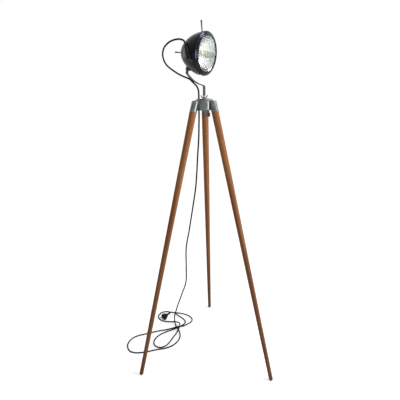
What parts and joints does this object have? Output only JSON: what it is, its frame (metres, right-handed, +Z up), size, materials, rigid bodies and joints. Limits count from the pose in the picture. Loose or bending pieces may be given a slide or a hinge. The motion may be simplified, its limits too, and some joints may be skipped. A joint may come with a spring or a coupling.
{
  "type": "tripod floor lamp",
  "caption": "Floor lamp: headlamp-shaped spotlight on a bent steel strap, swivelling and tilting on a cast head with turned wooden tripod legs, with cord and plug.",
  "frame": {"origin": "on the floor, at the middle of the footprint's bounding box", "axes": "+Z up, -Y the way the lamp shines"},
  "size_m": [0.6434, 0.7719, 1.5629],
  "materials": {
    "cast_aluminium": "cast, satin",
    "leg_wood": "turned and waxed",
    "zinc_steel": "zinc plated",
    "dark_steel": "blackened",
    "black_rubber": "matt",
    "strap_steel": "dark grey, satin",
    "brass_nut": "dull",
    "shell_black": "gloss black",
    "rim_chrome": "black chrome",
    "lens_glass": "clear, fluted",
    "reflector_silver": "bright",
    "white_plastic": "cream",
    "brown_plastic": "brown",
    "nickel": "satin nickel",
    "cord_black": "satin black"
  },
  "bodies": {
    "tripod": {"tripod_head": "cast_aluminium", "leg_front": "leg_wood", "leg_right": "leg_wood", "leg_left": "leg_wood", "leg_screws": "zinc_steel", "clamp_bolt": "dark_steel", "clamp_nut": "dark_steel", "head_cord_bush": "black_rubber", "upper_cord_foot": "cord_black", "floor_cord": "cord_black", "plug_body": "cord_black", "plug_relief": "cord_black", "plug_pins": "nickel"},
    "bracket": {"strap": "strap_steel", "swivel_stud": "zinc_steel", "swivel_washer": "zinc_steel", "swivel_lock_nut": "zinc_steel", "upper_cord_loop": "cord_black"},
    "wing_nut_body": {"wing_nut": "brass_nut"},
    "lamp": {"tilt_bolt": "dark_steel", "tilt_nut": "dark_steel", "saddle": "strap_steel", "saddle_rivets": "dark_steel", "shell": "shell_black", "rim": "rim_chrome", "rim_screw": "dark_steel", "lens": "lens_glass", "lens_gasket": "black_rubber", "reflector": "reflector_silver", "bulb_glass": "lens_glass", "bulb_cap": "brass_nut", "lamp_holder": "white_plastic", "terminal_block": "white_plastic", "switch_body": "brown_plastic", "switch_bush": "nickel", "switch_washer": "nickel", "switch_nut": "nickel", "handle": "nickel", "handle_nut": "zinc_steel", "shell_cord_boot": "black_rubber"},
    "lever_body": {"switch_lever": "nickel"}
  },
  "joints": [
    {"name": "pan", "type": "hinge", "parent": "tripod", "child": "bracket", "pos_m": [0, 0.0895, 1.2], "axis": [0, 0, 1], "range_deg": [-45, 45], "deforming": ["upper_cord_foot"]},
    {"name": "tilt", "type": "hinge", "parent": "bracket", "child": "lamp", "pos_m": [0, 0.16684, 1.39049], "axis": [1, 0, 0], "range_deg": [-35, 15], "deforming": ["upper_cord_loop"]},
    {"name": "wing_nut_turn", "type": "hinge", "parent": "bracket", "child": "wing_nut_body", "pos_m": [0, 0.0895, 1.28], "axis": [0, 0, 1], "range_deg": [0, 270]},
    {"name": "switch_toggle", "type": "hinge", "parent": "lamp", "child": "lever_body", "pos_m": [0, 0.19435, 1.45648], "axis": [1, 0, 0], "range_deg": [-12, 12]}
  ]
}
